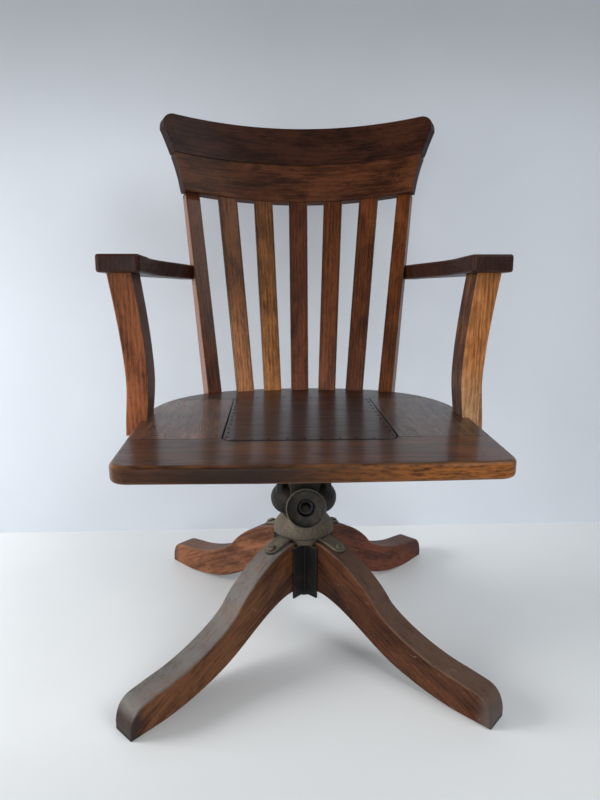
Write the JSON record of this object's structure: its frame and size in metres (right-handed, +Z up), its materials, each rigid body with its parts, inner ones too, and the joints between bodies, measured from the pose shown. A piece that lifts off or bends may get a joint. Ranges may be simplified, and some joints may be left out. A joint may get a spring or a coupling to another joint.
{
  "type": "bankers swivel chair",
  "caption": "Wooden bankers armchair: slatted back under a curved crest, flat arms on swept posts, bow-backed seat on a sprung tilting iron, a height screw and curved crossed legs.",
  "frame": {"origin": "on the floor, in the middle of the bounding box", "axes": "+Z up, -Y the way the sitter faces, +X to the right of someone who looks at the chair from the front"},
  "size_m": [0.633, 0.6181, 0.954],
  "materials": {
    "leg_wood": "worn reddish brown varnish, dusty on top",
    "seat_wood": "dark glossy varnish, worn on the edges",
    "slat_wood": "warm brown varnish",
    "dark_wood": "very dark brown varnish",
    "dusty_iron": "dusty grey-brown casting",
    "black_iron": "worn black paint",
    "steel": "dull bright steel"
  },
  "bodies": {
    "base": {"leg_rear_right": "leg_wood", "leg_rear_left": "leg_wood", "leg_front_left": "leg_wood", "leg_front_right": "leg_wood", "hub": "dusty_iron", "hub_screw_rear_right": "black_iron", "hub_screw_rear_left": "black_iron", "hub_screw_front_left": "black_iron", "hub_screw_front_right": "black_iron"},
    "turntable": {"thrust_washer": "steel"},
    "height_nut": {"bell_nut": "dusty_iron"},
    "column": {"spindle": "steel", "tilt_yoke": "black_iron", "pivot_bolt": "steel", "pivot_nut": "steel", "tension_rod": "steel", "tilt_spring": "steel"},
    "spring_seat": {"spring_plate": "steel"},
    "tension_wheel": {"tension_knob": "black_iron"},
    "seat": {"seat_bracket": "dusty_iron", "bracket_screw_front_left": "steel", "bracket_screw_rear_left": "steel", "bracket_screw_front_right": "steel", "bracket_screw_rear_right": "steel", "seat_front_board": "seat_wood", "seat_left_board": "seat_wood", "seat_right_board": "seat_wood", "seat_rear_board": "seat_wood", "seat_panel": "seat_wood", "arm_post_left": "slat_wood", "arm_left": "dark_wood", "arm_post_right": "slat_wood", "arm_right": "dark_wood", "slat_1": "slat_wood", "slat_2": "slat_wood", "slat_3": "slat_wood", "slat_4": "slat_wood", "slat_5": "slat_wood", "back_post_left": "slat_wood", "back_post_right": "slat_wood", "crest_lower_board": "dark_wood", "crest_upper_board": "dark_wood"}
  },
  "joints": [
    {"name": "swivel", "type": "hinge", "parent": "base", "child": "turntable", "pos_m": [0, 0.01564, 0.19], "axis": [0, 0, 1], "continuous": true},
    {"name": "nut_turn", "type": "hinge", "parent": "turntable", "child": "height_nut", "pos_m": [0, 0.01564, 0.2], "axis": [0, 0, -1], "range_deg": [0, 3600]},
    {"name": "seat_height", "type": "slide", "parent": "turntable", "child": "column", "axis": [0, 0, 1], "range_m": [0, 0.075]},
    {"name": "tension_slide", "type": "slide", "parent": "column", "child": "spring_seat", "axis": [0, 0.9877, -0.1564], "range_m": [-0.004, 0.002], "deforming": ["tilt_spring"]},
    {"name": "knob_turn", "type": "hinge", "parent": "spring_seat", "child": "tension_wheel", "pos_m": [0, -0.06831, 0.2662], "axis": [0, 0.9877, -0.1564], "range_deg": [-720, 360]},
    {"name": "tilt", "type": "hinge", "parent": "column", "child": "seat", "pos_m": [0, 0.01564, 0.3079], "axis": [-1, 0, 0], "range_deg": [0, 12], "stiffness_Nm_per_rad": 150, "springref_deg": -8.59, "deforming": ["tilt_spring"]}
  ],
  "couplings": [
    {"joint": "nut_turn", "follows": "seat_height", "rad_per_m": 837.75},
    {"joint": "knob_turn", "follows": "tension_slide", "rad_per_m": 3141.5}
  ]
}
